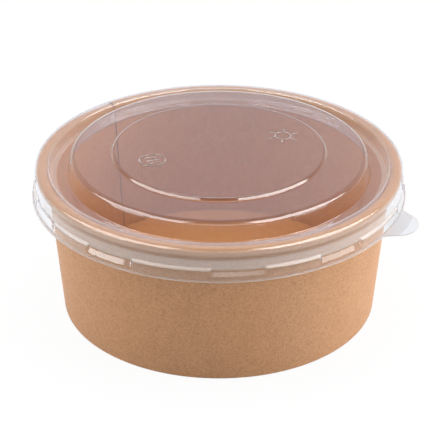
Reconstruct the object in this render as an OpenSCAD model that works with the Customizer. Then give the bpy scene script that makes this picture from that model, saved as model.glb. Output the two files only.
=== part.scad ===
// Round kraft paper bowl with a rolled rim, and its clear lid.
// Millimetres. The bowl's axis is Z, the table is at z = 0, and the front faces -Y.

/* [Bowl] */
// Outer diameter over the rolled rim
rim_d = 165; // [140:1:190]
// Height of the bowl, from the table to the top of the rim
bowl_h = 70; // [45:1:110]
// Outer diameter of the foot, where the wall meets the table
foot_d = 145; // [122:1:150]
// Diameter of the rolled rim's tube
roll_d = 5; // [3.6:0.1:6]
// Turn of the rolled rim, from the wall over the top and back towards the wall
roll_turn = 300; // [200:5:305]
// Thickness of the kraft board
board_t = 0.45; // [0.3:0.05:0.7]

/* [Foot] */
// Height of the bowl's floor above the table, to the floor's upper face
floor_h = 5.5; // [5:0.1:12]
// Radius of the bend where the wall turns in under the floor's skirt
fold_r = 0.3; // [0.25:0.05:0.45]
// Radius of the bend where the floor turns down into its skirt
floor_bend_r = 0.8; // [0.5:0.1:1.5]
// Glue line on each side of the floor's skirt
glue_gap = 0.05; // [0.03:0.01:0.1]
// Room between the lower edge of the floor's skirt and the fold under it
edge_gap = 0.25; // [0.15:0.05:0.6]

/* [Side seam] */
// Width of the overlap at the side seam
seam_w = 8; // [5:0.5:14]
// Direction of the seam, in degrees from +X towards +Y
seam_at = 127.5; // [0:0.5:360]
// Height left free of the overlap under the rolled rim and above the foot
seam_margin = 1.5; // [0.5:0.1:4]

/* [Lid fit] */
// Thickness of the lid's clear sheet
sheet_t = 0.35; // [0.25:0.05:0.5]
// Clearance between the lid and the rolled rim, all round
lid_gap = 0.3; // [0.2:0.05:0.6]
// Clearance between the snap lugs and the widest line of the rim
lug_gap = 0.25; // [0.15:0.05:0.5]

/* [Lid top] */
// Depth of the plug inside the rim, from the land over the rim to the flange
plug_depth = 4.9; // [3:0.1:8]
// How far the plug wall leans in towards its lower end
plug_lean = 1.2; // [0.4:0.1:2.5]
// Width of the flat flange between the plug wall and the dome
flange_w = 7.5; // [3:0.1:25]
// How far the dome's wall leans in towards its top
dome_lean = 1.6; // [0.5:0.1:4]
// Height of the dome's shoulder above the flange
dome_h = 8.9; // [5:0.1:20]
// Rounding of the dome's upper edge
dome_edge_r = 1.5; // [0.5:0.1:3]
// Diameter of the raised disc in the middle of the dome
disc_d = 96.4; // [50:0.2:120]
// Height of the raised disc above the shoulder
disc_rise = 1.2; // [0.6:0.1:2.5]
// Width of the sloped step around the raised disc
disc_slope = 1; // [0.5:0.1:2]
// Rounding of the lid's other bends
bend_r = 0.8; // [0.3:0.1:1.2]

/* [Lid skirt] */
// Rounding of the lid's outer edge, over the rim
land_edge_r = 1.8; // [0.8:0.1:2.4]
// Height of the skirt's upper wall, from the land over the rim to the step
band_h = 8.6; // [7:0.1:12]
// How far the step stands out from the upper wall
step_out = 0.95; // [0.5:0.05:1.5]
// Height of the step
step_h = 0.9; // [0.6:0.1:2]
// Height of the lower wall, from the step to the lip
lower_h = 4.9; // [3.6:0.1:8]
// How far the lower wall flares out towards the lip
lower_flare = 0.2; // [0:0.05:1]
// Width of the flat lip
lip_w = 0.7; // [0.5:0.1:2]

/* [Snap lugs] */
// Number of pairs of snap lugs
lug_pairs = 5; // [3:1:5]
// Angle that one lug covers
lug_turn = 16.5; // [8:0.5:18]
// Angle from the middle of a pair to each of its lugs
lug_offset = 16.5; // [12:0.5:18]
// Direction of the first pair, in degrees from +X towards +Y
lug_first = 292; // [0:1:360]
// How far a lug's upright wall reaches below the skirt's step
lug_drop = 1.4; // [0.8:0.1:2]
// Height of the lower end of a lug's sloped face above the lip
lug_foot_h = 1.5; // [0.8:0.1:1.6]

/* [Pull tab] */
// Width of the pull tab at the lip
tab_w = 25; // [18:0.5:40]
// Width of the pull tab at its tip, before its corners are rounded
tab_tip_w = 13.2; // [8:0.2:18]
// Length of the pull tab, from the lip's outer edge to its tip
tab_l = 10; // [6:0.1:18]
// Rounding of the pull tab's corners
tab_corner_r = 10; // [3:0.1:10]
// Rounding where the pull tab runs into the lip
tab_root_r = 5; // [0.5:0.1:6]
// Direction of the pull tab, in degrees from +X towards +Y
tab_at = 336; // [0:0.5:360]

/* [Raised marks] */
// Width of the raised lines
mark_line = 0.7; // [0.4:0.1:1.2]
// Height of the raised lines
mark_h = 0.2; // [0.1:0.05:0.4]
// Outer diameter of the right-hand mark's ring
mark_ring_d = 8; // [4:0.2:10]
// Length of the bars around the right-hand ring
mark_bar_l = 2.3; // [1:0.1:3]
// Number of bars around the right-hand ring
mark_bars = 6; // [4:1:10]
// Outer diameter of the left-hand mark's ring
mark_wide_ring_d = 12.4; // [8:0.2:14]
// Length of the bars in the left-hand ring
mark_inner_bar_l = 5.6; // [2:0.2:7]
// Distance from one bar in the left-hand ring to the next
mark_inner_step = 2.6; // [1.6:0.1:3]
// Distance of each mark from the lid's middle
mark_at_r = 32; // [12:0.5:38]
// Direction of the right-hand mark, in degrees from +X towards +Y
mark_at = 24; // [0:1:360]
// Direction of the left-hand mark, in degrees from +X towards +Y
mark_left_at = 202; // [0:1:360]

/* [Hidden] */
$fn = 180;

kraft = [0.71, 0.54, 0.38];
kraft_light = [0.78, 0.6, 0.43];
clear = [0.9, 0.92, 0.93, 0.35];

// Steps of a small rounding and of the rolled rim, and a reach past a surface that is cut
bend_steps = 6;
roll_steps = 40;
past = 1;

rim_r = rim_d / 2;
foot_r = foot_d / 2;
roll_mid = [rim_r - roll_d / 2, bowl_h - roll_d / 2];
roll_line_r = (roll_d - board_t) / 2;

// The wall is a straight line that touches the rim's tube and meets the table at the foot.
foot_to_roll = [roll_mid[0] - foot_r, roll_mid[1]];
foot_to_roll_turn = atan2(foot_to_roll[1], foot_to_roll[0]);
wall_lean = acos((roll_line_r - board_t / 2) / norm(foot_to_roll)) - foot_to_roll_turn;
wall_top = roll_mid + roll_line_r * [-cos(wall_lean), sin(wall_lean)];
// Distance along r between the middle lines of two boards that lie against each other
layer = (board_t + glue_gap) / cos(wall_lean);
// Radius of the wall's middle line at a height
function wall_r(z) = wall_top[0] - (wall_top[1] - z) * tan(wall_lean);

floor_mid_z = floor_h - board_t / 2;
hem_top_z = floor_mid_z - floor_bend_r;

// Middle lines of the lid's sheet
land_z = bowl_h + lid_gap + sheet_t / 2;
flange_z = land_z - plug_depth;
shoulder_z = flange_z + dome_h;
disc_z = shoulder_z + disc_rise;
step_z = land_z - band_h;
lower_z = step_z - step_h;
lip_z = lower_z - lower_h;
plug_r = rim_r - roll_d - lid_gap - sheet_t / 2;
band_r = rim_r + lid_gap + sheet_t / 2;
lower_r = band_r + step_out;
lip_r = lower_r + lower_flare;
dome_base_r = plug_r - plug_lean - flange_w;
disc_r = disc_d / 2;

// The tab is cut a hair thinner than the lip, so its faces end in the lip's edge
tab_t = sheet_t - 0.04;

// Inner face of a lug's upright wall, and the angle that a sheet's thickness covers there
lug_r = rim_r + lug_gap;
lug_cap = sheet_t / lug_r * 180 / PI;
lug_low_z = step_z - lug_drop;
lug_foot_z = lip_z + lug_foot_h;
// Heights above the step where a lug starts to leave the skirt and where it stands upright
lug_start_z = step_z + 1.2;
lug_top_z = step_z + 0.4;

function unit(v) = v / norm(v);
function left_of(v) = [-v[1], v[0]];
function turn(from, to) = let (d = to - from) d > 180 ? d - 360 : d < -180 ? d + 360 : d;
function flat(p) = [p[0], p[1]];

// Points of the arc that rounds the corner p between a and b, no larger than its legs allow
function rounding(a, p, b, r) =
  let (
    u = unit(a - p),
    w = unit(b - p),
    half = acos(u * w) / 2,
    reach = min(r / tan(half), 0.49 * norm(a - p), 0.49 * norm(b - p)),
    radius = reach * tan(half),
    mid = p + unit(u + w) * radius / sin(half),
    out = p + u * reach - mid,
    back = p + w * reach - mid,
    from = atan2(out[1], out[0]),
    sweep = turn(from, atan2(back[1], back[0]))
  )
  [
    for (i = [0 : bend_steps])
      let (a = from + sweep * i / bend_steps)
      mid + radius * [cos(a), sin(a)]
  ];

// A path of [r, z, rounding] corners as plain points
function rounded(path) =
  let (last = len(path) - 1, plain = [for (p = path) flat(p)])
  [
    plain[0],
    for (i = [1 : last - 1]) each rounding(plain[i - 1], plain[i], plain[i + 1], path[i][2]),
    plain[last]
  ];

// The point beside path point i, at distance d to its left
function beside(path, i, d) =
  let (
    n = len(path) - 1,
    before = left_of(unit(i > 0 ? path[i] - path[i - 1] : path[1] - path[0])),
    after = left_of(unit(i < n ? path[i + 1] - path[i] : path[n] - path[n - 1])),
    m = unit(before + after)
  )
  path[i] + m * d / (m * before);

// Outline of a sheet of thickness t around its middle line
function sheet(path, t) = concat(
  [for (i = [0 : len(path) - 1]) beside(path, i, t / 2)],
  [for (i = [len(path) - 1 : -1 : 0]) beside(path, i, -t / 2)]
);

// Middle line of the wall: the hem inside the foot, the fold on the table, the wall and the rolled rim
function wall_line() =
  let (hem = 2 * layer, table = board_t / 2)
  concat(
    rounded([
      [wall_r(hem_top_z) - hem, hem_top_z, 0],
      [wall_r(table) - hem, table, fold_r],
      [wall_r(table), table, fold_r],
      [wall_top[0], wall_top[1], 0]
    ]),
    [
      for (i = [1 : roll_steps])
        let (a = 180 - wall_lean - roll_turn * i / roll_steps)
        roll_mid + roll_line_r * [cos(a), sin(a)]
    ]
  );

// Middle line of the floor, from the axis to the edge of its down-turned skirt
function floor_line() =
  let (edge_z = board_t + edge_gap)
  rounded([
    [0, floor_mid_z, 0],
    [wall_r(floor_mid_z) - layer, floor_mid_z, floor_bend_r],
    [wall_r(edge_z) - layer, edge_z, 0]
  ]);

// Middle line of the lid, from the axis to the edge of its lip
function lid_line() = rounded([
  [0, disc_z, 0],
  [disc_r - disc_slope / 2, disc_z, bend_r],
  [disc_r + disc_slope / 2, shoulder_z, bend_r],
  [dome_base_r - dome_lean, shoulder_z, dome_edge_r],
  [dome_base_r, flange_z, bend_r],
  [plug_r - plug_lean, flange_z, bend_r],
  [plug_r, land_z, bend_r],
  [band_r, land_z, land_edge_r],
  [band_r, step_z, bend_r / 2],
  [lower_r, lower_z, bend_r / 2],
  [lip_r, lip_z, bend_r / 2],
  [lip_r + lip_w, lip_z, 0]
]);

// A ring sector with the given outline, from one angle over a turn
module sector(outline, from, span) {
  rotate([0, 0, from])
    rotate_extrude(angle = span)
      polygon(outline);
}

// The second layer of board where the blank's ends overlap
module seam_overlap() {
  half_turn = seam_w / (rim_r + foot_r) * 180 / PI;
  low = seam_margin + board_t;
  high = roll_mid[1] - roll_d / 2 - seam_margin;
  outer = board_t / 2 + board_t;
  sector(
    [
      [wall_r(low), low],
      [wall_r(low) + outer, low],
      [wall_r(high) + outer, high],
      [wall_r(high), high]
    ],
    seam_at - half_turn,
    2 * half_turn
  );
}

// Body of one lug: the step and lower wall pressed in under the rim
module lug_body() {
  sector(
    [
      [band_r, lug_start_z],
      [band_r, step_z],
      [lower_r, lower_z],
      [lip_r, lug_foot_z - sheet_t],
      [lug_r, lug_low_z - sheet_t / 2],
      [lug_r, lug_top_z]
    ],
    -lug_turn / 2,
    lug_turn
  );
}

// Hollow in front of one lug, which leaves the lug one sheet thick
module lug_hollow() {
  face = lug_r + sheet_t;
  front = lip_r + past;
  sector(
    [
      [face, lug_top_z],
      [face, lug_low_z],
      [lip_r + sheet_t / 2, lug_foot_z],
      [front, lug_foot_z],
      [front, lug_start_z],
      [band_r + sheet_t, lug_start_z]
    ],
    -lug_turn / 2 + lug_cap,
    lug_turn - 2 * lug_cap
  );
}

module at_each_lug() {
  for (pair = [0 : lug_pairs - 1]) {
    for (side = [-1, 1]) {
      rotate([0, 0, lug_first + pair * 360 / lug_pairs + side * lug_offset])
        children();
    }
  }
}

// Flat tab that is gripped to lift the lid
module pull_tab() {
  root_r = lip_r + 0.7 * lip_w;
  root_x = sqrt(pow(root_r, 2) - pow(tab_w / 2, 2));
  side = asin((tab_w / 2 + 2 * tab_root_r) / root_r);
  side_x = root_r * cos(side);
  side_y = root_r * sin(side);
  tip = lip_r + lip_w + tab_l;
  outline = rounded([
    [side_x, -side_y, 0],
    [root_x, -tab_w / 2, tab_root_r],
    [tip, -tab_tip_w / 2, tab_corner_r],
    [tip, tab_tip_w / 2, tab_corner_r],
    [root_x, tab_w / 2, tab_root_r],
    [side_x, side_y, 0]
  ]);
  rotate([0, 0, tab_at])
    translate([0, 0, lip_z - tab_t / 2])
      linear_extrude(height = tab_t)
        difference() {
          polygon(outline);
          circle(r = lip_r + lip_w / 2);
        }
}

// Low ridge along a short straight line
module mark_bar(length) {
  translate([-length / 2, -mark_line / 2, 0])
    cube([length, mark_line, mark_h + sheet_t / 2]);
}

// Low round ridge
module mark_ring(outer_d) {
  rotate_extrude()
    translate([outer_d / 2 - mark_line, 0])
      square([mark_line, mark_h + sheet_t / 2]);
}

// Plain raised mark: a ring with short bars around it
module mark_with_bars_around() {
  mark_ring(mark_ring_d);
  for (i = [0 : mark_bars - 1]) {
    rotate([0, 0, i * 360 / mark_bars])
      translate([mark_ring_d / 2 + mark_line + mark_bar_l / 2, 0, 0])
        mark_bar(mark_bar_l);
  }
}

// Plain raised mark: a wide ring with three bars side by side in it
module mark_with_bars_inside() {
  mark_ring(mark_wide_ring_d);
  for (i = [-1 : 1]) {
    translate([0, i * mark_inner_step, 0])
      mark_bar(mark_inner_bar_l);
  }
}

module side_wall() {
  color(kraft) {
    union() {
      rotate_extrude()
        polygon(sheet(wall_line(), board_t));
      seam_overlap();
    }
  }
}

module base_disc() {
  color(kraft_light) {
    rotate_extrude()
      polygon(sheet(floor_line(), board_t));
  }
}

module lid() {
  color(clear) {
    difference() {
      union() {
        rotate_extrude()
          polygon(sheet(lid_line(), sheet_t));
        at_each_lug()
          lug_body();
        pull_tab();
        rotate([0, 0, mark_at])
          translate([mark_at_r, 0, disc_z])
            mark_with_bars_around();
        rotate([0, 0, mark_left_at])
          translate([mark_at_r, 0, disc_z])
            mark_with_bars_inside();
      }
      at_each_lug()
        lug_hollow();
    }
  }
}

side_wall();
base_disc();
lid();
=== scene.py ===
"""Looks of a round kraft paper bowl with its clear lid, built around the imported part.

The classes hold their sizes in millimetres and angles in degrees from +X towards +Y.
A mesh is made in metres. The bowl's axis is Z, the table is at z = 0 and the front faces -Y.
"""

import logging
import math
from dataclasses import dataclass
from enum import Enum
from typing import Sequence

import bpy
from mathutils import Matrix, Vector


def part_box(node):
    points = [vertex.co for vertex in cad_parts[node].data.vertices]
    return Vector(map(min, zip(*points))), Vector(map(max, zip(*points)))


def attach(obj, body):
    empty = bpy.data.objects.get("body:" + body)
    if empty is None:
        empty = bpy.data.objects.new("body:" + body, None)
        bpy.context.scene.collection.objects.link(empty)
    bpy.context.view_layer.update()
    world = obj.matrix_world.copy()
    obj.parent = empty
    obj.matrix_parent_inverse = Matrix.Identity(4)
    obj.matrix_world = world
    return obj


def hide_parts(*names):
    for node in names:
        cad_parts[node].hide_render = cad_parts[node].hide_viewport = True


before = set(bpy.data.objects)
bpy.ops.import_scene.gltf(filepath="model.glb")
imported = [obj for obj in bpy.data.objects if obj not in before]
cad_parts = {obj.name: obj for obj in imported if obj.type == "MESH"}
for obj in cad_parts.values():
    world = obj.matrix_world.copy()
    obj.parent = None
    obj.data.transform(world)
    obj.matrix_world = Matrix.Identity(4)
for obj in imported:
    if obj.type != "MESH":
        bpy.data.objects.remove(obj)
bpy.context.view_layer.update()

LOG = logging.getLogger("paper_bowl")
MM = 0.001
WHITE = (1.0, 1.0, 1.0, 1.0)

Point = tuple[float, float]
Colour = tuple[float, float, float, float]
Socket = bpy.types.NodeSocket
Node = bpy.types.Node
Tree = bpy.types.NodeTree
Piece = bpy.types.Object
Material = bpy.types.Material


class Side(Enum):
    """The faces of a sheet along its middle line, in the order of its material slots."""

    LEFT = 0
    RIGHT = 1
    CUT = 2


Dress = dict[Side, Material]


class MarkKind(Enum):
    """What the short bars of a raised mark do."""

    BARS_AROUND = True
    BARS_INSIDE = False


@dataclass(frozen=True)
class Corner:
    """One corner of a sheet's middle line, in millimetres.

    bend is the rounding there, cuts the number of stretches in the leg that follows.
    """

    r: float
    z: float
    bend: float = 0.0
    cuts: int = 1


@dataclass(frozen=True)
class Ray:
    """One direction in which a turned sheet is drawn.

    shift moves the sheet along its left side there, reach lengthens its last edge.
    """

    degrees: float
    shift: float = 0.0
    reach: float = 0.0


def linear(red: int, green: int, blue: int) -> Colour:
    """Turns a screen colour into the linear colour that a shader takes.

    Args:
        red: Red from 0 to 255.
        green: Green from 0 to 255.
        blue: Blue from 0 to 255.

    Returns:
        The linear colour, opaque.
    """
    parts = [value / 255 for value in (red, green, blue)]
    straight = [p / 12.92 if p <= 0.04045 else ((p + 0.055) / 1.055) ** 2.4 for p in parts]
    return (straight[0], straight[1], straight[2], 1.0)


def toward(start: Point, end: Point, share: float) -> Point:
    """The point at a share of the way from start to end."""
    return (start[0] + (end[0] - start[0]) * share, start[1] + (end[1] - start[1]) * share)


def rounded_corner(before: Point, corner: Point, after: Point, radius: float, steps: int) -> list[Point]:
    """Points of the arc that rounds a corner.

    Args:
        before: The corner before it.
        corner: The corner that is rounded.
        after: The corner after it.
        radius: Radius of the arc, which the legs may limit.
        steps: Number of stretches in the arc.

    Returns:
        The arc's points, from the first leg to the second.
    """
    here = Vector(corner)
    back, out = Vector(before) - here, Vector(after) - here
    legs = min(back.length, out.length)
    back.normalize()
    out.normalize()
    half = math.acos(max(-1.0, min(1.0, back.dot(out)))) / 2
    if radius <= 0 or half > math.pi / 2 - 1e-4:
        return [corner]
    reach = min(radius / math.tan(half), 0.49 * legs)
    radius = reach * math.tan(half)
    middle = here + (back + out).normalized() * radius / math.sin(half)
    first, last = here + back * reach - middle, here + out * reach - middle
    start = math.atan2(first.y, first.x)
    sweep = (math.atan2(last.y, last.x) - start + math.pi) % (2 * math.pi) - math.pi
    turns = [start + sweep * i / steps for i in range(steps + 1)]
    return [(middle.x + radius * math.cos(a), middle.y + radius * math.sin(a)) for a in turns]


def bent_line(corners: Sequence[Corner], steps: int = 5, guard: float = 0.3) -> list[Point]:
    """The middle line of a sheet with rounded bends.

    Each straight leg gets a point a little way from its bends, which keeps its shading flat.

    Args:
        corners: The corners in order.
        steps: Stretches in each bend.
        guard: Distance of the extra points from a bend.

    Returns:
        The points (r, z) of the line.
    """
    spots = [(c.r, c.z) for c in corners]
    bends = [[spots[0]]]
    for i in range(1, len(corners) - 1):
        bends.append(rounded_corner(spots[i - 1], spots[i], spots[i + 1], corners[i].bend, steps))
    bends.append([spots[-1]])
    line = list(bends[0])
    for i in range(1, len(bends)):
        start, end = bends[i - 1][-1], bends[i][0]
        length = math.dist(start, end)
        near = guard / length if length > 3 * guard else 0.0
        shares = [near] if near else []
        cuts = corners[i - 1].cuts
        shares += [near + (1 - 2 * near) * k / cuts for k in range(1, cuts)]
        shares += [1 - near] if near else []
        line += [toward(start, end, share) for share in shares] + bends[i]
    return line


def left_sides(line: Sequence[Point]) -> list[Point]:
    """The direction to the left of a line at each of its points, one unit long."""
    sides = []
    for i in range(len(line)):
        a, b = line[max(i - 1, 0)], line[min(i + 1, len(line) - 1)]
        length = math.dist(a, b)
        sides.append(((a[1] - b[1]) / length, (b[0] - a[0]) / length))
    return sides


def even_rays(count: int) -> list[Ray]:
    """Rays all round, evenly spaced, with the first repeated at the end."""
    return [Ray(360 * i / count) for i in range(count + 1)]


class TreeMaker:
    """Adds nodes to one node tree in short calls, for geometry, shaders and the world."""

    def __init__(self, tree: Tree) -> None:
        """Takes the tree that is added to."""
        self.tree = tree

    def add(self, kind: str, inputs: dict | None = None, **settings: object) -> Node:
        """Adds one node.

        Args:
            kind: Blender's name of the node type.
            inputs: What goes into its sockets, by name or index: a socket, or a plain value.
            **settings: The node's own settings.

        Returns:
            The new node.
        """
        node = self.tree.nodes.new(kind)
        for name, value in settings.items():
            setattr(node, name, value)
        for name, value in (inputs or {}).items():
            if isinstance(value, Socket):
                self.tree.links.new(value, node.inputs[name])
            else:
                node.inputs[name].default_value = value
        return node

    def first(self, kind: str, inputs: dict | None = None, **settings: object) -> Socket:
        """Adds one node as add does, and gives its first output."""
        return self.add(kind, inputs, **settings).outputs[0]

    def split(self, vector: Socket) -> Sequence[Socket]:
        """The x, y and z of a vector."""
        return self.add("ShaderNodeSeparateXYZ", {0: vector}).outputs

    def join(self, x: Socket | float = 0.0, y: Socket | float = 0.0, z: Socket | float = 0.0) -> Socket:
        """The vector with these coordinates."""
        return self.first("ShaderNodeCombineXYZ", {0: x, 1: y, 2: z})

    def vector(self, operation: str, value: Socket, other: Socket | tuple | float) -> Socket:
        """One vector step, by Blender's name of the operation. SCALE takes a number."""
        slot = 3 if operation == "SCALE" else 1
        return self.first("ShaderNodeVectorMath", {0: value, slot: other}, operation=operation)

    def length(self, vector: Socket) -> Socket:
        """The length of a vector."""
        return self.add("ShaderNodeVectorMath", {0: vector}, operation="LENGTH").outputs["Value"]

    def grey(self, level: Socket) -> Socket:
        """The grey colour of a level."""
        return self.first("ShaderNodeCombineColor", {0: level, 1: level, 2: level})

    def math(self, operation: str, *values: Socket | float) -> Socket:
        """One arithmetic step with one to three values, by Blender's name of the operation."""
        return self.first("ShaderNodeMath", dict(enumerate(values)), operation=operation)

    def times(self, value: Socket, factor: Socket | float) -> Socket:
        """The product of two values."""
        return self.math("MULTIPLY", value, factor)

    def ramp(self, value: Socket, low: Socket | float, high: Socket | float,
             to: tuple[float | Socket, float | Socket] = (0.0, 1.0), smooth: bool = True) -> Socket:
        """A value that runs from one number to another between two limits.

        Args:
            value: What is measured.
            low: Where the change starts.
            high: Where it ends.
            to: The results at low and at high.
            smooth: Whether the change starts and ends softly.

        Returns:
            The socket with the result.
        """
        places = {"Value": value, "From Min": low, "From Max": high, "To Min": to[0], "To Max": to[1]}
        kind = "SMOOTHSTEP" if smooth else "LINEAR"
        return self.add("ShaderNodeMapRange", places, interpolation_type=kind).outputs["Result"]

    def inside(self, value: Socket, low: float, high: float, edge: float) -> Socket:
        """A share that is one between two limits and fades out past them.

        Args:
            value: What is measured.
            low: The lower limit.
            high: The upper limit.
            edge: How far the fade reaches on each side of a limit.

        Returns:
            The socket with the share.
        """
        rise = self.ramp(value, low - edge, low + edge)
        return self.times(rise, self.ramp(value, high - edge, high + edge, to=(1.0, 0.0)))

    def mix(self, share: Socket | float, first: Socket | Colour, second: Socket | Colour,
            blend: str = "MIX") -> Socket:
        """Mixes two colours.

        Args:
            share: How much of the second colour.
            first: The first colour.
            second: The second colour.
            blend: Blender's name of the way to mix.

        Returns:
            The socket with the mixed colour.
        """
        inputs = {0: share, 6: first, 7: second}
        return self.add("ShaderNodeMix", inputs, data_type="RGBA", blend_type=blend).outputs[2]


def new_group(kind: str, name: str, takes: Sequence[tuple[str, str, object]],
              gives: Sequence[tuple[str, str]]) -> tuple[TreeMaker, Node]:
    """Makes an empty node group with named inputs and outputs.

    Args:
        kind: GeometryNodeTree or ShaderNodeTree.
        name: The group's name.
        takes: Each input's name, socket type and starting value, None where it has none.
        gives: Each output's name and socket type.

    Returns:
        The maker for the group's tree, and its input node.
    """
    tree = bpy.data.node_groups.new(name, kind)
    for label, socket_type, value in takes:
        socket = tree.interface.new_socket(name=label, in_out="INPUT", socket_type=socket_type)
        if value is not None:
            socket.default_value = value
    for label, socket_type in gives:
        tree.interface.new_socket(name=label, in_out="OUTPUT", socket_type=socket_type)
    maker = TreeMaker(tree)
    return maker, maker.add("NodeGroupInput")


def close_group(maker: TreeMaker, results: dict[str, Socket]) -> Tree:
    """Links a group's results to its outputs and gives back its tree."""
    maker.add("NodeGroupOutput", results)
    return maker.tree


FLOAT, INT, FLAG = "NodeSocketFloat", "NodeSocketInt", "NodeSocketBool"
GEOMETRY, OBJECT, MATERIAL, VECTOR = ("NodeSocketGeometry", "NodeSocketObject",
                                      "NodeSocketMaterial", "NodeSocketVector")


def finish_geometry(maker: TreeMaker, shape: Socket, finish: Socket) -> Tree:
    """Ends a geometry tree: smooth shading, real geometry and its material.

    Args:
        maker: The maker of the tree.
        shape: The finished geometry.
        finish: The material.

    Returns:
        The finished tree.
    """
    smooth = maker.first("GeometryNodeSetShadeSmooth", {"Geometry": shape})
    real = maker.first("GeometryNodeRealizeInstances", {"Geometry": smooth})
    dressed = maker.first("GeometryNodeSetMaterial", {"Geometry": real, "Material": finish})
    return close_group(maker, {"Geometry": dressed})


def turned_sheet_tree() -> Tree:
    """Geometry tree that turns a sheet's middle line round the axis, ray by ray.

    The incoming mesh holds the line's points as (r, 0, z), their left sides in the attribute side
    and how far they follow a ray's reach in the attribute follow. The Rays object's points hold
    (angle, shift, reach) of each ray.

    Returns:
        The tree.
    """
    maker, given = new_group(
        "GeometryNodeTree", "turned_sheet",
        [("Geometry", GEOMETRY, None), ("Rays", OBJECT, None), ("Finish", MATERIAL, None),
         ("Merge Distance", FLOAT, 0.002 * MM)],
        [("Geometry", GEOMETRY)])
    line = given.outputs["Geometry"]
    rays = maker.add("GeometryNodeObjectInfo", {"Object": given.outputs["Rays"]}).outputs["Geometry"]
    counts = [maker.add("GeometryNodeAttributeDomainSize", {"Geometry": g}).outputs["Point Count"]
              for g in (line, rays)]
    grid = maker.add("GeometryNodeMeshGrid", {"Vertices X": counts[0], "Vertices Y": counts[1]})
    index = maker.first("GeometryNodeInputIndex")
    row = maker.math("FLOOR", maker.math("DIVIDE", maker.math("ADD", index, 0.5), counts[1]))
    column = maker.math("SUBTRACT", index, maker.times(row, counts[1]))

    def sampled(geometry: Socket, value: Socket, where: Socket, kind: str = "FLOAT_VECTOR") -> Socket:
        """The value that one point of a geometry has."""
        node = maker.add("GeometryNodeSampleIndex", data_type=kind)
        for socket, source in (("Geometry", geometry), ("Value", value), ("Index", where)):
            maker.tree.links.new(source, node.inputs[socket])
        return node.outputs["Value"]

    def named(label: str, kind: str) -> Socket:
        """A named attribute of the sampled geometry."""
        return maker.first("GeometryNodeInputNamedAttribute", {"Name": label}, data_type=kind)

    place = maker.first("GeometryNodeInputPosition")
    spot = maker.split(sampled(line, place, row))
    side = maker.split(sampled(line, named("side", "FLOAT_VECTOR"), row))
    follow = sampled(line, named("follow", "FLOAT"), row, "FLOAT")
    ray = maker.split(sampled(rays, place, column))
    angle, shift, reach = ray[0], ray[1], ray[2]
    radius = maker.math("MULTIPLY_ADD", side[0], shift, spot[0])
    radius = maker.math("MULTIPLY_ADD", follow, reach, radius)
    height = maker.math("MULTIPLY_ADD", side[2], shift, spot[2])
    point = maker.join(maker.times(radius, maker.math("COSINE", angle)),
                       maker.times(radius, maker.math("SINE", angle)), height)
    placed = maker.first("GeometryNodeSetPosition", {"Geometry": grid.outputs["Mesh"], "Position": point})
    joined = maker.first("GeometryNodeMergeByDistance",
                         {"Geometry": placed, "Distance": given.outputs["Merge Distance"]})
    return finish_geometry(maker, joined, given.outputs["Finish"])


def pressed_lugs_tree() -> Tree:
    """Geometry tree that presses pairs of snap lugs into a turned skirt.

    Returns:
        The tree.
    """
    maker, given = new_group(
        "GeometryNodeTree", "pressed_lugs",
        [("Geometry", GEOMETRY, None), ("Finish", MATERIAL, None), ("Pairs", INT, 5),
         ("First Pair", FLOAT, 0.0), ("Offset", FLOAT, 0.3), ("Turn", FLOAT, 0.3),
         ("End Blend", FLOAT, 0.02), ("Face Radius", FLOAT, 0.083), ("Foot Radius", FLOAT, 0.084),
         ("Start Height", FLOAT, 0.063), ("Top Height", FLOAT, 0.062), ("Low Height", FLOAT, 0.06),
         ("Foot Height", FLOAT, 0.057), ("Foot Blend", FLOAT, 0.0005)],
        [("Geometry", GEOMETRY)])
    sizes = given.outputs
    place = maker.first("GeometryNodeInputPosition")
    at = maker.split(place)
    flat = maker.join(at[0], at[1])
    radius = maker.length(flat)
    angle = maker.math("ARCTAN2", at[1], at[0])
    spacing = maker.math("DIVIDE", 2 * math.pi, sizes["Pairs"])
    half = maker.times(spacing, 0.5)
    from_pair = maker.math("WRAP", maker.math("SUBTRACT", angle, sizes["First Pair"]), half,
                           maker.times(half, -1.0))
    from_lug = maker.math("ABSOLUTE",
                          maker.math("SUBTRACT", maker.math("ABSOLUTE", from_pair), sizes["Offset"]))
    end = maker.times(sizes["Turn"], 0.5)
    along = maker.ramp(from_lug, maker.math("SUBTRACT", end, sizes["End Blend"]), end, to=(1.0, 0.0))
    below_start = maker.ramp(at[2], sizes["Top Height"], sizes["Start Height"], to=(1.0, 0.0))
    foot_low = maker.math("SUBTRACT", sizes["Foot Height"], sizes["Foot Blend"])
    above_foot = maker.ramp(at[2], foot_low, sizes["Foot Height"])
    face = maker.ramp(at[2], sizes["Foot Height"], sizes["Low Height"],
                      to=(sizes["Foot Radius"], sizes["Face Radius"]), smooth=False)
    share = maker.times(along, maker.times(below_start, above_foot))
    pressed = maker.math("MULTIPLY_ADD", maker.math("SUBTRACT", face, radius), share, radius)
    scale = maker.math("DIVIDE", pressed, maker.math("MAXIMUM", radius, MM))
    moved = maker.vector("SCALE", flat, scale)
    lifted = maker.join(z=at[2])
    point = maker.vector("ADD", moved, lifted)
    skirt = maker.first("FunctionNodeCompare", {0: share, 1: 0.0}, operation="GREATER_THAN")
    shaped = maker.first("GeometryNodeSetPosition", {
        "Geometry": sizes["Geometry"], "Selection": skirt, "Position": point})
    return finish_geometry(maker, shaped, sizes["Finish"])


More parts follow.
